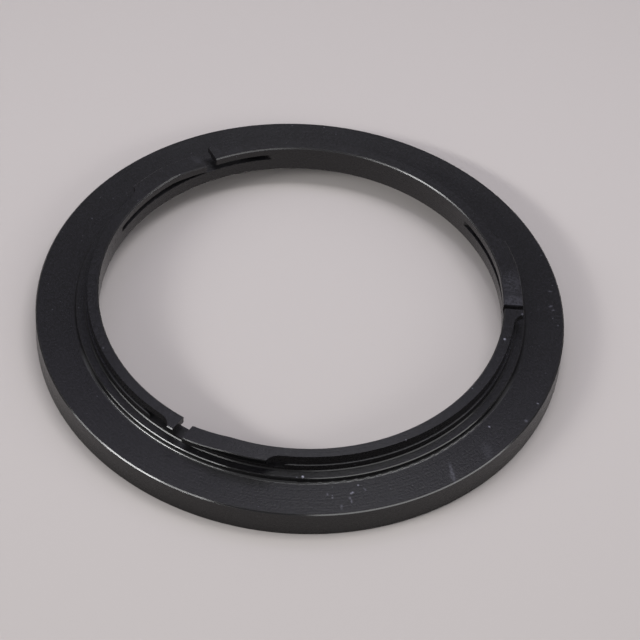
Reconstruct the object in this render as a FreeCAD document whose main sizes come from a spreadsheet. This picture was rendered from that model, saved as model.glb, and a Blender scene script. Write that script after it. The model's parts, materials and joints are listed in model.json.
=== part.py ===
import FreeCAD, Part
import math
import os
import Sketcher

# Driving sizes in millimetres and degrees.
# The radii stack outwards from the bore, the heights stack upwards from the table,
# and the angles are measured from the middle of a notch.
sizes = {
    "bore_diameter": 53.64,
    "collar_wall": 1.76,
    "lug_reach": 0.85,
    "seat_margin": 0.37,
    "thread_step": 3.7,
    "rim_wall": 1.63,
    "thread_depth": 2.9,
    "web": 1.06,
    "seat_height": 0.75,
    "lug_gap": 1.57,
    "lug_thickness": 0.85,
    "rim_chamfer": 0.15,
    "thread_lead_in": 0.4,
    "bore_relief": 0.38,
    "seat_fillet": 0.5,
    "seat_chamfer": 0.1,
    "root_bevel": 0.15,
    "lug_chamfer": 0.1,
    "bore_chamfer": 0.15,
    "lug_sets": 3,
    "mill_radius": 2.0,
    "mill_bite": 0.28,
    "mill_overrun": 0.49,
    "long_lug_angle": 27.1,
    "short_lug_angle": 6.5,
    "saw_radius": 8.0,
    "saw_reach": 0.2,
    "slot_below_lug": 0.25,
    "slot_height": 0.88,
    "slot_long_angle": 24.0,
    "slot_short_angle": 5.9,
    "notch_width": 1.45,
    "bend_angle": 13.0,
    "tip_gap": 0.03,
}

doc = FreeCAD.newDocument("step_up_ring")
sheet = doc.addObject("Spreadsheet::Sheet", "Sizes")
for row, (name, value) in enumerate(sizes.items(), start=1):
    sheet.set(f"A{row}", name)
    sheet.set(f"B{row}", str(value))
    sheet.setAlias(f"B{row}", name)
doc.recompute()

# radii worked out from the sheet
bore_r = "(Sizes.bore_diameter / 2)"
root_r = f"({bore_r} + Sizes.collar_wall)"
mill_r = f"({root_r} - Sizes.mill_bite)"
saw_r = f"({root_r} + Sizes.saw_reach - 2 * Sizes.saw_radius)"
lug_r = f"({root_r} + Sizes.lug_reach)"
seat_r = f"({lug_r} + Sizes.seat_margin)"
thread_r = f"({seat_r} + Sizes.thread_step)"
outer_r = f"({thread_r} + Sizes.rim_wall)"
inside_r = f"({bore_r} - Sizes.collar_wall)"

# heights above the table
flange_z = "(Sizes.thread_depth + Sizes.web)"
seat_z = f"({flange_z} + Sizes.seat_height)"
lug_z = f"({seat_z} + Sizes.lug_gap)"
top_z = f"({lug_z} + Sizes.lug_thickness)"
mill_z = f"({lug_z} - Sizes.mill_overrun)"
slot_top_z = f"({lug_z} - Sizes.slot_below_lug)"
slot_floor_z = f"({slot_top_z} - Sizes.slot_height)"
slot_middle_z = f"({slot_top_z} - Sizes.slot_height / 2)"


def amount(expression):
    return float(sheet.evalExpression(expression))


# a dimension of a sketch that follows the sheet
def drive(sketch, constraint, expression):
    index = sketch.addConstraint(constraint)
    sketch.setExpression(f"Constraints[{index}]", expression)


def distance(sketch, kind, edge, end, expression):
    drive(sketch, Sketcher.Constraint(kind, -1, 1, edge, end, amount(expression)), expression)


def radius(sketch, edge, expression):
    drive(sketch, Sketcher.Constraint("Radius", edge, amount(expression)), expression)


def link(sketch, kind, *places):
    sketch.addConstraint(Sketcher.Constraint(kind, *places))


def origin_feature(body, role):
    return next(item for item in body.Origin.OriginFeatures if item.Role == role)


def sketch_on(body, name, role):
    sketch = body.newObject("Sketcher::SketchObject", name)
    sketch.AttachmentSupport = [(origin_feature(body, role), "")]
    sketch.MapMode = "FlatFace"
    return sketch


# a level sketch at a height above the table
def level_sketch(body, name, height):
    sketch = sketch_on(body, name, "XY_Plane")
    sketch.setExpression("AttachmentOffset.Base.z", height)
    return sketch


# A closed outline through corners given as radius and height.
# A corner with a third entry leads to the next one by a hollow quarter circle of that radius.
def outline(sketch, corners):
    points = [FreeCAD.Vector(amount(corner[0]), amount(corner[1]), 0) for corner in corners]
    sides = []
    for start, end, corner in zip(points, points[1:] + points[:1], corners):
        if len(corner) == 3:
            centre = FreeCAD.Vector(start.x, end.y, 0)
            circle = Part.Circle(centre, FreeCAD.Vector(0, 0, 1), amount(corner[2]))
            arc = Part.ArcOfCircle(circle, circle.parameter(end), circle.parameter(start))
            sides.append((sketch.addGeometry(arc), 2, 1))
        else:
            sides.append((sketch.addGeometry(Part.LineSegment(start, end)), 1, 2))
    for (edge, _, last), (after, first, _) in zip(sides, sides[1:] + sides[:1]):
        link(sketch, "Coincident", edge, last, after, first)
    for (edge, first, _), corner in zip(sides, corners):
        distance(sketch, "DistanceX", edge, first, corner[0])
        if amount(corner[1]):
            distance(sketch, "DistanceY", edge, first, corner[1])
        else:
            link(sketch, "PointOnObject", edge, first, -1)
        if len(corner) == 3:
            radius(sketch, edge, corner[2])


# The track of a round cutter that turns about the axis from one angle to another:
# two arcs about the axis, closed by the cutter's half circles on two spokes.
def cutter_track(sketch, inner_r, cutter_r, from_angle, to_angle):
    axis = FreeCAD.Vector()
    up = FreeCAD.Vector(0, 0, 1)
    inner = amount(inner_r)
    cutter = amount(cutter_r)
    start = math.radians(amount(from_angle))
    end = math.radians(amount(to_angle))
    for turn in (start, end):
        centre = FreeCAD.Vector(math.cos(turn), math.sin(turn), 0) * (inner + cutter)
        sketch.addGeometry(Part.LineSegment(axis, centre), True)
        first = turn + math.pi if turn == start else turn
        circle = Part.Circle(centre, up, cutter)
        sketch.addGeometry(Part.ArcOfCircle(circle, first, first + math.pi))
    for reach in (inner, inner + 2 * cutter):
        sketch.addGeometry(Part.ArcOfCircle(Part.Circle(axis, up, reach), start, end))
    start_spoke, start_cap, end_spoke, end_cap, inner_arc, outer_arc = range(6)
    for edge, place in ((start_spoke, 1), (end_spoke, 1), (inner_arc, 3), (outer_arc, 3)):
        link(sketch, "Coincident", edge, place, -1, 1)
    for cap, spoke in ((start_cap, start_spoke), (end_cap, end_spoke)):
        link(sketch, "Coincident", cap, 3, spoke, 2)
        link(sketch, "PointOnObject", cap, 1, spoke)
        link(sketch, "PointOnObject", cap, 2, spoke)
    link(sketch, "Coincident", start_cap, 1, inner_arc, 1)
    link(sketch, "Coincident", start_cap, 2, outer_arc, 1)
    link(sketch, "Coincident", end_cap, 1, outer_arc, 2)
    link(sketch, "Coincident", end_cap, 2, inner_arc, 2)
    drive(sketch, Sketcher.Constraint("Angle", start_spoke, start), from_angle)
    drive(sketch, Sketcher.Constraint("Angle", end_spoke, end), to_angle)
    radius(sketch, inner_arc, inner_r)
    radius(sketch, start_cap, cutter_r)


def check_cut(cut):
    doc.recompute()
    if cut.Shape.Volume >= cut.BaseFeature.Shape.Volume:
        raise RuntimeError(f"{cut.Name} cuts nothing")


# a cut down from a level sketch
def pocket(body, name, sketch, depth):
    cut = body.newObject("PartDesign::Pocket", name)
    cut.Profile = sketch
    cut.setExpression("Length", depth)
    check_cut(cut)
    return cut


ring = doc.addObject("PartDesign::Body", "step_up_ring")

# The turned blank: rim with the thread bore, flange, seat and groove,
# and a lug rim all the way round the collar.
section = sketch_on(ring, "section", "XZ_Plane")
outline(section, [
    (f"{thread_r} + Sizes.thread_lead_in", "0"),
    (f"{outer_r} - Sizes.rim_chamfer", "0"),
    (outer_r, "Sizes.rim_chamfer"),
    (outer_r, f"{flange_z} - Sizes.rim_chamfer"),
    (f"{outer_r} - Sizes.rim_chamfer", flange_z),
    (f"{seat_r} + Sizes.seat_fillet", flange_z, "Sizes.seat_fillet"),
    (seat_r, f"{flange_z} + Sizes.seat_fillet"),
    (seat_r, f"{seat_z} - Sizes.seat_chamfer"),
    (f"{seat_r} - Sizes.seat_chamfer", seat_z),
    (f"{root_r} + Sizes.root_bevel", seat_z),
    (root_r, f"{seat_z} + Sizes.root_bevel"),
    (root_r, lug_z),
    (lug_r, lug_z),
    (lug_r, f"{top_z} - Sizes.lug_chamfer"),
    (f"{lug_r} - Sizes.lug_chamfer", top_z),
    (f"{bore_r} + Sizes.bore_chamfer", top_z),
    (bore_r, f"{top_z} - Sizes.bore_chamfer"),
    (bore_r, "Sizes.thread_depth + Sizes.bore_relief"),
    (f"{bore_r} + Sizes.bore_relief", "Sizes.thread_depth"),
    (thread_r, "Sizes.thread_depth"),
    (thread_r, "Sizes.thread_lead_in"),
])
blank = ring.newObject("PartDesign::Revolution", "blank")
blank.Profile = section
blank.ReferenceAxis = (section, ["V_Axis"])
blank.Angle = 360
doc.recompute()

# the lug rim milled away between the long lug of one set and the short lug of the next
mill_track = level_sketch(ring, "mill_track", top_z)
mill_end = "360 / Sizes.lug_sets - Sizes.short_lug_angle"
cutter_track(mill_track, mill_r, "Sizes.mill_radius", "Sizes.long_lug_angle", mill_end)
lug_space = pocket(ring, "lug_space", mill_track, f"{top_z} - {mill_z}")

# the slot under the lugs, sawn from inside the bore, which frees the tongue
saw_track = level_sketch(ring, "saw_track", slot_top_z)
cutter_track(saw_track, saw_r, "Sizes.saw_radius", "-Sizes.slot_short_angle", "Sizes.slot_long_angle")
slot = pocket(ring, "slot", saw_track, "Sizes.slot_height")

# the straight end of the tongue taken off, from the notch to the bend
tip_space = sketch_on(ring, "tip_space", "XZ_Plane")
outline(tip_space, [
    (inside_r, slot_middle_z),
    (seat_r, slot_middle_z),
    (seat_r, top_z),
    (inside_r, top_z),
])
tip_cut = ring.newObject("PartDesign::Groove", "tip_cut")
tip_cut.Profile = tip_space
tip_cut.ReferenceAxis = (tip_space, ["V_Axis"])
tip_cut.setExpression("Angle", "Sizes.bend_angle")
check_cut(tip_cut)

# The same end bent down: the section of the tongue and its lug,
# led down a helix from the bend to the notch.
tip_section = sketch_on(ring, "tip_section", "XZ_Plane")
upright = FreeCAD.Vector(0, 1, 0)
bend = FreeCAD.Rotation(upright, amount("Sizes.bend_angle"))
tip_section.AttachmentOffset = FreeCAD.Placement(FreeCAD.Vector(), bend)
tip_section.setExpression("AttachmentOffset.Rotation.Angle", "Sizes.bend_angle")
outline(tip_section, [
    (bore_r, slot_top_z),
    (root_r, slot_top_z),
    (root_r, lug_z),
    (lug_r, lug_z),
    (lug_r, f"{top_z} - Sizes.lug_chamfer"),
    (f"{lug_r} - Sizes.lug_chamfer", top_z),
    (f"{bore_r} + Sizes.bore_chamfer", top_z),
    (bore_r, f"{top_z} - Sizes.bore_chamfer"),
])
tip = ring.newObject("PartDesign::AdditiveHelix", "tip")
tip.Profile = tip_section
tip.ReferenceAxis = (tip_section, ["V_Axis"])
tip.Mode = "height-turns-angle"
tip.setExpression("Height", "Sizes.slot_height - Sizes.tip_gap")
tip.setExpression("Turns", "Sizes.bend_angle / 360")
tip.Reversed = True
doc.recompute()

# the notch between the tongue and the short lug
notch_outline = level_sketch(ring, "notch_outline", top_z)
outline(notch_outline, [
    (inside_r, "-Sizes.notch_width / 2"),
    (seat_r, "-Sizes.notch_width / 2"),
    (seat_r, "Sizes.notch_width / 2"),
    (inside_r, "Sizes.notch_width / 2"),
])
notch = pocket(ring, "notch", notch_outline, f"{top_z} - {slot_floor_z}")

lugs = ring.newObject("PartDesign::PolarPattern", "lugs")
lugs.Originals = [lug_space, slot, tip_cut, tip, notch]
lugs.Axis = (origin_feature(ring, "Z_Axis"), [""])
lugs.Angle = 360
lugs.setExpression("Occurrences", "Sizes.lug_sets")
ring.Tip = lugs
ring.Label = "step_up_ring"
doc.recompute()

for item in doc.Objects:
    if "Invalid" in item.State or "Error" in item.State:
        raise RuntimeError(f"{item.Name} failed: {item.State}")
if ring.Shape.isNull() or not ring.Shape.isValid() or len(ring.Shape.Solids) != 1:
    raise RuntimeError("step_up_ring is not one valid solid")

os.makedirs("parts", exist_ok=True)
ring.Shape.exportStep(f"parts/{ring.Label}.step")
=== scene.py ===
import bmesh
import bpy
import json
import math
from mathutils import Matrix, Vector


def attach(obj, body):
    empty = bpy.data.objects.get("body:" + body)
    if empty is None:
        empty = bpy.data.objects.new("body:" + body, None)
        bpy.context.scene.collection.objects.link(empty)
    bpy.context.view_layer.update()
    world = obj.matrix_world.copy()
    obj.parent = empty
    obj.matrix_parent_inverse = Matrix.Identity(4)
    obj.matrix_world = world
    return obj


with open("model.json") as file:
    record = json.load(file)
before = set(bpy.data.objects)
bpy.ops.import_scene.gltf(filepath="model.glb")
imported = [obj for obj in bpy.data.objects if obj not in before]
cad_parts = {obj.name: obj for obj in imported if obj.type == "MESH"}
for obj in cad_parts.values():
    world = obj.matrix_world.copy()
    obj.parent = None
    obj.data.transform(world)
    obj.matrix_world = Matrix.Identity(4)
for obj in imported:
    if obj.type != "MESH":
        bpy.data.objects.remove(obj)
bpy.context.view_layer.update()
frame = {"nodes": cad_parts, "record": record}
mm = 0.001  # the frame is in metres, the sizes below in millimetres
ring = frame["nodes"]["step_up_ring"]
mounts = {mount["name"]: mount for mount in frame["record"]["mounts"]}
print("ring loaded with", len(ring.data.polygons), "faces")


# one socket of a node tree, with arithmetic
class Wire:
    def __init__(self, tree, socket=None):
        self.tree = tree
        self.socket = socket

    # any node: its type, its settings, then the values or links of its sockets
    def node(self, kind, settings={}, sockets={}, output=0):
        made = self.tree.nodes.new("ShaderNode" + kind)
        for name, value in settings.items():
            setattr(made, name, value)
        for name, value in sockets.items():
            if isinstance(value, Wire):
                self.tree.links.new(value.socket, made.inputs[name])
            else:
                made.inputs[name].default_value = value
        return Wire(self.tree, made.outputs[output]) if made.outputs else made

    def math(self, operation, *values):
        return self.node("Math", {"operation": operation}, dict(enumerate(values)))

    # a vector, or the one number that a length, a distance or a dot product gives
    def vector(self, operation, *values):
        output = "Value" if operation in ("LENGTH", "DISTANCE", "DOT_PRODUCT") else "Vector"
        return self.node("VectorMath", {"operation": operation}, dict(enumerate(values)), output)

    def scaled(self, factor):
        return self.node("VectorMath", {"operation": "SCALE"}, {0: self, "Scale": factor})

    def part(self, axis):
        return self.node("SeparateXYZ", {}, {0: self}, axis)

    def __add__(self, other):
        return self.math("ADD", self, other)

    def __sub__(self, other):
        return self.math("SUBTRACT", self, other)

    def __rsub__(self, other):
        return self.math("SUBTRACT", other, self)

    def __mul__(self, other):
        return self.math("MULTIPLY", self, other)

    __radd__ = __add__
    __rmul__ = __mul__

    def larger(self, other):
        return self.math("MAXIMUM", self, other)

    # 0 at low and 1 at high, or the other way round, smooth between
    def step(self, low, high):
        ends = {"Value": self, "From Min": low, "From Max": high}
        return self.node("MapRange", {"interpolation_type": "SMOOTHSTEP"}, ends)

    # the first where this is 0, the second where it is 1: for numbers, colours and vectors
    def between(self, first, second):
        return self * (second - first) + first

    def blend(self, first, second):
        return self.node("Mix", {"data_type": "RGBA"}, {0: self, 6: first, 7: second}, 2)

    def blendVector(self, first, second):
        return self.node("Mix", {"data_type": "VECTOR"}, {0: self, 4: first, 5: second}, 1)


# the black satin finish, with sizes in millimetres
anodised = {
    "black": (0.0018, 0.0016, 0.0020, 1),
    "paleBlack": (0.0068, 0.0063, 0.0084, 1),
    "paleWall": (0.0120, 0.0110, 0.0113, 1),
    "ior": 1.42,
    "levelRoughness": 0.42,
    "wallRoughness": 0.275,
    "lay": 0.6,  # how much rougher it is across the turning marks than along them
    "layTurn": 0.25,
    "grain": {"Scale": 3.0, "Detail": 3.0, "Roughness": 0.6},
    "marks": {"Scale": 7.0, "Detail": 2.0},
    "handling": {"Scale": 0.25, "Detail": 3.0},
    "grainSpread": (0.40, 0.60),
    "grainShare": 0.7,  # the rest is handling in the tone, and turning marks in the relief
    "grainRoughness": 0.20,
    "markRoughness": 0.06,
    "handlingRoughness": 0.06,
    "wallGrain": 0.2,  # how much of the grain and of the relief is left on the walls
    "wallRelief": 0.1,
    "bumpDepth": 0.075,
    "wallToLevel": (0.1, 0.9),  # how far a face looks up
    "milledToTurned": (0.2, 0.1),  # how far it looks round the axis
}
noiseMiddle = 0.5
flangeTop = 3.96
seatTop = 4.71
collarTop = 7.13

# Turned edges where the black is thin and gleams, its pale metal partly a painted highlight: radius,
# height and half width, how bright the metal is and how rough, and how much of it stays at the back; the
# rest is a painted highlight only in front.
edgeGleamAndPaintedHighlights = {
    "rimTop": (35.055, 3.885, 0.14, 0.072, 0.18, 1),
    "rimFoot": (35.055, 0.075, 0.14, 0.040, 0.24, 1),
    "seatFoot": (29.946, 4.106, 0.34, 0.092, 0.22, 0),
    "seatEdge": (29.750, 4.660, 0.10, 0.056, 0.18, 0),
    "collarRoot": (28.655, 4.785, 0.12, 0.047, 0.28, 0),
    "lugEdge": (29.380, 7.080, 0.12, 0.047, 0.24, 0),
    "tongueEdge": (29.380, 6.700, 0.42, 0.047, 0.24, 0),
    "boreEdge": (26.895, 7.055, 0.13, 0.085, 0.26, 1),
}
edgeSet = {
    "full": 0.7,  # the share of the half width that gleams in full
    # the front, where the edges' painted highlight lies
    "front": (-0.3, -0.55),  # where the front begins, as the sine of the angle
    "tongueSide": (0.1, 0.07),  # the bent tongue's edge runs down, so only its radius counts
}

# the heights between which the seat's foot turns up, and how far the fillet reaches from its middle
seatFillet = {"top": 4.32, "foot": flangeTop, "reach": 0.40, "full": 0.95}

# the edge of the milled ledge, painted pale in front as a highlight line
paintedLedgeHighlight = {
    "radius": 28.54,
    "height": 5.79,
    "reach": 0.1,
    "front": (-0.45, -0.7),
    "colour": (0.054, 0.054, 0.056, 1),
}

# dust and scuffs, with painted sheen on the bent tongues: angle, radius, height, length, width, lie and
# strength
dustAndSheenMarks = {
    "streak": (307.5, 33.6, flangeTop, 4.8, 0.7, -24, 0.14),
    "streakFoot": (306.9, 34.2, flangeTop, 1.8, 0.9, -16, 0.12),
    "smudge": (317.6, 33.7, flangeTop, 4.2, 1.9, -36, 0.035),
    "clusterHook": (284.2, 31.95, flangeTop, 0.5, 0.8, 30, 0.5),
    "clusterMiddle": (283.4, 32.75, flangeTop, 0.6, 0.45, 0, 0.28),
    "clusterTail": (283.6, 33.3, flangeTop, 0.9, 0.35, -10, 0.2),
    "clusterInner": (286.1, 30.9, flangeTop, 0.5, 0.35, 0, 0.35),
    "clusterRight": (287.3, 31.7, flangeTop, 0.8, 0.3, 25, 0.24),
    "clusterLeft": (278.6, 31.8, flangeTop, 0.6, 0.4, 0, 0.2),
    "clusterLeftOuter": (279.6, 32.45, flangeTop, 0.5, 0.4, 0, 0.22),
    "clusterEdge": (281.2, 34.0, flangeTop, 1.2, 0.5, -10, 0.14),
    "flangeSpeck": (323.5, 31.3, flangeTop, 0.5, 0.35, 0, 0.5),
    "rimSpecks": (330.1, 34.55, flangeTop, 0.8, 0.6, 0, 0.14),
    "rimSpeckBright": (335.8, 34.5, flangeTop, 0.55, 0.3, 0, 0.35),
    "sideSpecks": (5.4, 33.5, flangeTop, 0.9, 0.5, 20, 0.12),
    "sideSpecksOuter": (4.2, 33.75, flangeTop, 0.6, 0.45, 0, 0.12),
    "sideSpecksInner": (4.4, 31.8, flangeTop, 0.7, 0.6, 0, 0.05),
    "sideSpecksFar": (10.0, 33.8, flangeTop, 0.9, 0.4, -10, 0.11),
    "sideSpeckNear": (359.6, 34.3, flangeTop, 0.4, 0.35, 0, 0.1),
    "sideSpeckTop": (21.2, 34.5, flangeTop, 0.4, 0.35, 0, 0.14),
    "leftSpeck": (154.4, 32.2, flangeTop, 0.3, 0.25, 0, 0.2),
    "seatDot": (272.9, 29.55, seatTop, 0.55, 0.5, 0, 0.9),
    "seatDotSmall": (271.5, 29.65, seatTop, 0.3, 0.25, 0, 0.4),
    "collarDot": (347.1, 27.56, collarTop, 0.5, 0.48, 0, 0.8),
    "collarDotLeft": (205.8, 28.0, collarTop, 0.28, 0.25, 0, 0.3),
    "collarDotNear": (300.4, 28.2, collarTop, 0.3, 0.22, 0, 0.35),
    "collarDotRight": (326.5, 27.2, collarTop, 0.3, 0.25, 0, 0.35),
    # painted sheen: the bent tongues' tops and free ends made paler, where they tilt toward the light
    "tongueFilm": (7.0, 28.2, 6.85, 6.0, 9.0, 0, 0.03),
    "tongueEnd": (2.2, 28.2, 6.45, 6.0, 4.6, 0, 0.055),
    "shortLugCorner": (357.0, 29.25, collarTop, 0.45, 0.5, 0, 0.2),
    "lugSpecks": (268.0, 29.2, collarTop, 0.3, 1.6, 0, 0.14),
    "farTongueEnd": (123.0, 28.6, 6.5, 2.6, 1.6, 20, 0.03),
}
dustAndSheenSet = {
    "colour": (0.39, 0.39, 0.47, 1),
    "roughness": 0.8,
    "depth": 0.5,
    "core": 0.2,  # the share of a mark that has its full strength
    "clumps": (0.35, 0.6),  # the grain that dust gathers on, and what is left between
    "thinnest": 0.4,
    "speckScale": 1.1,  # cells a millimetre, some with a speck in the middle
    "speckReach": 0.12,
    "speckCore": 0.4,
    "speckShare": 0.4,
    "speckStrength": 0.25,
    "speckHandling": (0.4, 0.6),
}


# the strongest mark at each place
def dustAndSheenAt(place):
    dustAndSheen = None
    for angle, radius, height, length, width, lie, strength in dustAndSheenMarks.values():
        turn = math.radians(angle)
        spot = {
            "Vector": place,
            "Location": (radius * math.cos(turn), radius * math.sin(turn), height),
            "Rotation": (0, 0, math.radians(angle + lie)),
            "Scale": (length / 2, width / 2, dustAndSheenSet["depth"]),
        }
        inside = place.node("Mapping", {"vector_type": "TEXTURE"}, spot)
        mark = place.vector("LENGTH", inside).step(1.0, dustAndSheenSet["core"]) * strength
        dustAndSheen = dustAndSheen.larger(mark) if dustAndSheen else mark
    return dustAndSheen


# fine specks that lie anywhere, more of them where the ring is handled
def specksAt(place, handling):
    cells = place.node("TexVoronoi", {}, {"Vector": place, "Scale": dustAndSheenSet["speckScale"]}, "Distance")
    draw = Wire(place.tree, cells.socket.node.outputs["Color"])
    chosen = place.node("SeparateColor", {}, {0: draw}, "Red").step(1 - dustAndSheenSet["speckShare"], 1.0)
    speck = cells.step(dustAndSheenSet["speckReach"], dustAndSheenSet["speckReach"] * dustAndSheenSet["speckCore"])
    return speck * chosen * handling.step(*dustAndSheenSet["speckHandling"]) * dustAndSheenSet["speckStrength"]


def blackAnodised():
    material = bpy.data.materials.new("black_anodised")
    material.use_nodes = True
    tree = material.node_tree
    tree.nodes.clear()
    start = Wire(tree)
    place = start.node("TexCoord", output="Object").scaled(1 / mm)
    flat = start.vector("MULTIPLY", place, (1, 1, 0))
    radius = start.vector("LENGTH", flat)
    height = place.part("Z")
    section = start.node("CombineXYZ", {}, {"X": radius, "Y": height})

    def nearness(edgeRadius, edgeHeight, reach, full=edgeSet["full"]):
        away = start.vector("DISTANCE", section, (edgeRadius, edgeHeight, 0))
        return away.step(reach, reach * full)

    # blasted grain, the turning marks, which only change with radius and height, and broad handling
    grain = start.node("TexNoise", {}, {"Vector": place, **anodised["grain"]}, "Fac")
    markSockets = {"Vector": section, **anodised["marks"]}
    marks = start.node("TexNoise", {"noise_dimensions": "2D"}, markSockets, "Fac")
    handling = start.node("TexNoise", {}, {"Vector": place, **anodised["handling"]}, "Fac")

    # the mesh is flat facets, so a turned face gets a normal with no part round the axis
    facing = start.node("NewGeometry", output="Normal")
    upward = facing.part("Z").step(*anodised["wallToLevel"])
    outward = start.vector("NORMALIZE", flat)
    around = start.vector("CROSS_PRODUCT", (0, 0, 1), outward)
    aside = start.vector("DOT_PRODUCT", facing, around)
    smooth = start.vector("SUBTRACT", facing, around.scaled(aside))
    isTurned = start.math("ABSOLUTE", aside).step(*anodised["milledToTurned"])
    normal = isTurned.blendVector(facing, smooth)

    # and on the fillet at the seat's foot it turns from level to upright with the height
    ends = {"Value": height, "From Min": seatFillet["top"], "From Max": seatFillet["foot"]}
    upright = start.node("MapRange", {}, ends)
    level = start.math("SQRT", 1 - upright * upright)
    rise = start.node("CombineXYZ", {}, {"Z": upright})
    hollow = start.vector("ADD", outward.scaled(level), rise)
    onFillet = nearness(*edgeGleamAndPaintedHighlights["seatFoot"][:2], seatFillet["reach"], seatFillet["full"])
    normal = onFillet.blendVector(normal, hollow)

    # the black itself, with less grain on the walls
    share = anodised["grainShare"]
    evenness = upward.between(anodised["wallGrain"], 1)
    rough = upward.between(anodised["wallRoughness"], anodised["levelRoughness"])
    rough = rough + (grain - noiseMiddle) * anodised["grainRoughness"] * evenness
    rough = rough + (marks - noiseMiddle) * anodised["markRoughness"]
    rough = rough + (handling - noiseMiddle) * anodised["handlingRoughness"]
    tone = grain.step(*anodised["grainSpread"]) * share + handling * (1 - share)
    tone = (tone - noiseMiddle) * evenness + noiseMiddle
    wall = tone.blend(anodised["black"], anodised["paleWall"])
    colour = upward.blend(wall, tone.blend(anodised["black"], anodised["paleBlack"]))

    # painted highlight on the ledge's edge, and gleaming edges, painted as highlights in front only where
    # they keep no share at the back
    front = outward.part("Y")
    ledgeHighlight = nearness(paintedLedgeHighlight["radius"], paintedLedgeHighlight["height"], paintedLedgeHighlight["reach"])
    ledgeHighlight = ledgeHighlight * front.step(*paintedLedgeHighlight["front"])
    colour = ledgeHighlight.blend(colour, paintedLedgeHighlight["colour"])
    gleamAndPaintedHighlight = None
    paintedHighlightFront = front.step(*edgeSet["front"])
    besideLug = start.math("ABSOLUTE", radius - edgeGleamAndPaintedHighlights["tongueEdge"][0])
    onLugSide = besideLug.step(*edgeSet["tongueSide"])
    for name, (edgeRadius, edgeHeight, reach, shade, edgeRough, stays) in edgeGleamAndPaintedHighlights.items():
        edge = nearness(edgeRadius, edgeHeight, reach) * paintedHighlightFront.larger(stays)
        if name == "tongueEdge":
            edge = edge * onLugSide
        colour = edge.blend(colour, (shade, shade, shade, 1))
        rough = edge.between(rough, edgeRough)
        gleamAndPaintedHighlight = gleamAndPaintedHighlight.larger(edge) if gleamAndPaintedHighlight else edge

    # dust, and painted sheen on the bent tongues, in one pale mark
    clumps = grain.step(*dustAndSheenSet["clumps"]).between(dustAndSheenSet["thinnest"], 1)
    dustAndSheen = (dustAndSheenAt(place) * clumps).larger(specksAt(place, handling))
    colour = dustAndSheen.blend(colour, dustAndSheenSet["colour"])
    rough = dustAndSheen.between(rough, dustAndSheenSet["roughness"])
    relief = (grain * share + marks * (1 - share)) * (1 - gleamAndPaintedHighlight)
    relief = relief * upward.between(anodised["wallRelief"], 1)
    depth = anodised["bumpDepth"] * mm
    bump = start.node("Bump", {}, {"Height": relief, "Strength": 1.0, "Distance": depth, "Normal": normal})

    shader = start.node("BsdfPrincipled", {}, {
        "Base Color": colour,
        "Roughness": rough,
        "Metallic": gleamAndPaintedHighlight * (1 - dustAndSheen),
        "IOR": anodised["ior"],
        "Normal": bump,
        "Anisotropic": anodised["lay"],
        "Anisotropic Rotation": anodised["layTurn"],
    })
    start.node("OutputMaterial", {}, {"Surface": shader})
    return material


blackFinish = blackAnodised()
ring.data.materials.clear()
ring.data.materials.append(blackFinish)
print("black finish on the ring")

# the fine thread in the rim, which takes a screw-in filter
thread = {
    "pitch": 0.75,
    "rootRadius": mounts["filter_thread"]["dims"]["r_mm"],
    "depth": 0.41,
    "rootWidth": 0.66,
    "crestWidth": 0.10,
    "firstHeight": 0.5,
    "turns": 2.75,
    "stepsPerTurn": 160,
    "leadIn": 0.4,  # height of the chamfer at the mouth
    "sink": 0.02,  # how far the foot of the ridge lies in the wall
}


def filterThread():
    bm = bmesh.new()
    foot = thread["rootRadius"] + thread["sink"]
    crest = thread["rootRadius"] - thread["depth"]
    corners = [
        (foot, -thread["rootWidth"] / 2),
        (crest, -thread["crestWidth"] / 2),
        (crest, thread["crestWidth"] / 2),
        (foot, thread["rootWidth"] / 2),
    ]
    points = [bm.verts.new((x * mm, 0, (thread["firstHeight"] + z) * mm)) for x, z in corners]
    profile = bm.faces.new(points)
    steps = int(thread["turns"] * thread["stepsPerTurn"])
    rise = thread["pitch"] / thread["stepsPerTurn"]
    bmesh.ops.spin(
        bm,
        geom=[profile, *profile.edges, *points],
        cent=(0, 0, 0),
        axis=(0, 0, 1),
        dvec=(0, 0, rise * mm),
        angle=math.tau * thread["turns"],
        steps=steps,
        use_merge=False,
        use_duplicate=False,
    )
    # the mouth's chamfer and the run-out take the crest down at both ends
    low = thread["leadIn"]
    high = thread["firstHeight"] + thread["pitch"] * thread["turns"] + thread["rootWidth"] / 2
    for vert in bm.verts:
        reach = vert.co.xy.length
        height = vert.co.z / mm
        limit = foot - max(0.0, min(height - low, high - height))
        if reach < limit * mm:
            vert.co.xy *= limit * mm / reach
    bmesh.ops.recalc_face_normals(bm, faces=bm.faces)
    mesh = bpy.data.meshes.new("filter_thread")
    bm.to_mesh(mesh)
    bm.free()
    mesh.materials.append(blackFinish)
    piece = bpy.data.objects.new("filter_thread", mesh)
    bpy.context.scene.collection.objects.link(piece)
    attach(piece, "root")


filterThread()
print("thread cut")

# the pale table top
floorSet = {"size": 3.0, "colour": (0.497, 0.466, 0.451, 1), "roughness": 0.9, "specular": 0}


def paleFloor():
    bm = bmesh.new()
    bmesh.ops.create_grid(bm, x_segments=1, y_segments=1, size=floorSet["size"] / 2)
    mesh = bpy.data.meshes.new("floor")
    bm.to_mesh(mesh)
    bm.free()
    material = bpy.data.materials.new("pale_table")
    material.use_nodes = True
    shader = material.node_tree.nodes["Principled BSDF"]
    shader.inputs["Base Color"].default_value = floorSet["colour"]
    shader.inputs["Roughness"].default_value = floorSet["roughness"]
    shader.inputs["Specular IOR Level"].default_value = floorSet["specular"]
    mesh.materials.append(material)
    floor = bpy.data.objects.new("floor", mesh)
    bpy.context.scene.collection.objects.link(floor)


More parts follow.
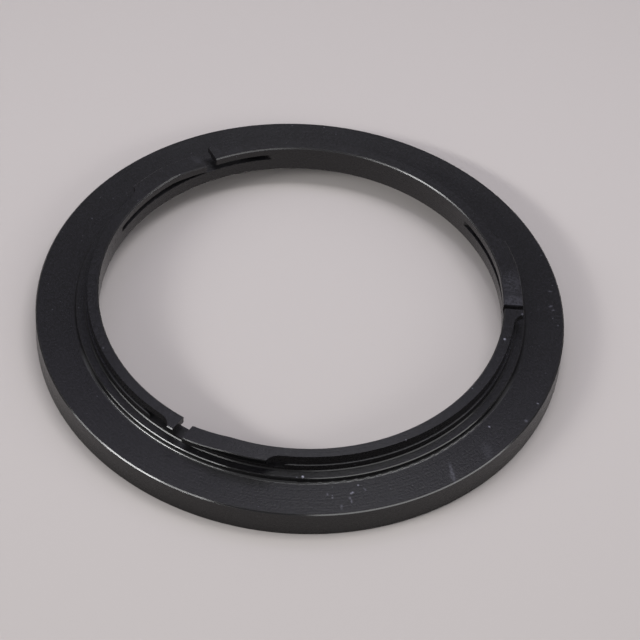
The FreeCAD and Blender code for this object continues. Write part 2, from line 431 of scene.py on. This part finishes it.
# soft panels: azimuth, elevation and roll as seen from the ring in degrees,
# then distance and size in metres, watts and colour
panels = {
    "leftPanel": (208, 33, 18, 0.7, (0.68, 0.07), 1.50, (1, 1, 1)),
    "leftGlow": (207, 32, 18, 0.69, (0.26, 0.07), 1.35, (1, 1, 1)),
    "rightPanel": (321, 33, -16, 0.7, (0.95, 0.17), 1.35, (1, 1, 1)),
    "topPanel": (20, 80, 70, 0.29, (0.17, 0.08), 0.31, (1, 1, 1)),
    "backPanel": (86, 72, 4, 0.14, (0.217, 0.042), 0.044, (0.80, 0.76, 1.0)),
}
roomColour = (0.275, 0.27, 0.285, 1)


def softLight():
    for name, (azimuth, elevation, roll, distance, size, power, colour) in panels.items():
        lamp = bpy.data.lights.new(name, "AREA")
        lamp.shape = "RECTANGLE"
        lamp.size, lamp.size_y = size
        lamp.energy = power
        lamp.color = colour
        holder = bpy.data.objects.new(name, lamp)
        turn = Matrix.Rotation(math.radians(azimuth + 90), 4, "Z")
        tip = Matrix.Rotation(math.radians(90 - elevation), 4, "X")
        away = Matrix.Translation((0, 0, distance))
        holder.matrix_world = turn @ tip @ away @ Matrix.Rotation(math.radians(roll), 4, "Z")
        holder.visible_camera = False
        bpy.context.scene.collection.objects.link(holder)
    world = bpy.data.worlds.new("room")
    world.use_nodes = True
    world.node_tree.nodes["Background"].inputs["Color"].default_value = roomColour
    bpy.context.scene.world = world


# where the camera aims, in millimetres, and how it is turned, in degrees
cameraSet = {
    "aim": (2.67, -1.08, 3.0),
    "distance": 398.8,
    "elevation": 47.83,
    "roll": 4.43,
    "turn": -1.0,
    "lens": 168.75,
    "sensor": 36.0,
}


def photoCamera():
    data = bpy.data.cameras.new("camera")
    data.lens = cameraSet["lens"]
    data.sensor_width = cameraSet["sensor"]
    camera = bpy.data.objects.new("camera", data)
    turn = Matrix.Rotation(math.radians(cameraSet["turn"]), 4, "Z")
    aim = Matrix.Translation(Vector(cameraSet["aim"]) * mm)
    tip = Matrix.Rotation(math.radians(90 - cameraSet["elevation"]), 4, "X")
    back = Matrix.Translation((0, 0, cameraSet["distance"] * mm))
    roll = Matrix.Rotation(math.radians(cameraSet["roll"]), 4, "Z")
    camera.matrix_world = turn @ aim @ tip @ back @ roll
    bpy.context.scene.collection.objects.link(camera)
    bpy.context.scene.camera = camera


paleFloor()
softLight()
photoCamera()
bpy.context.scene.view_settings.view_transform = "Standard"
print("table, light and camera set")
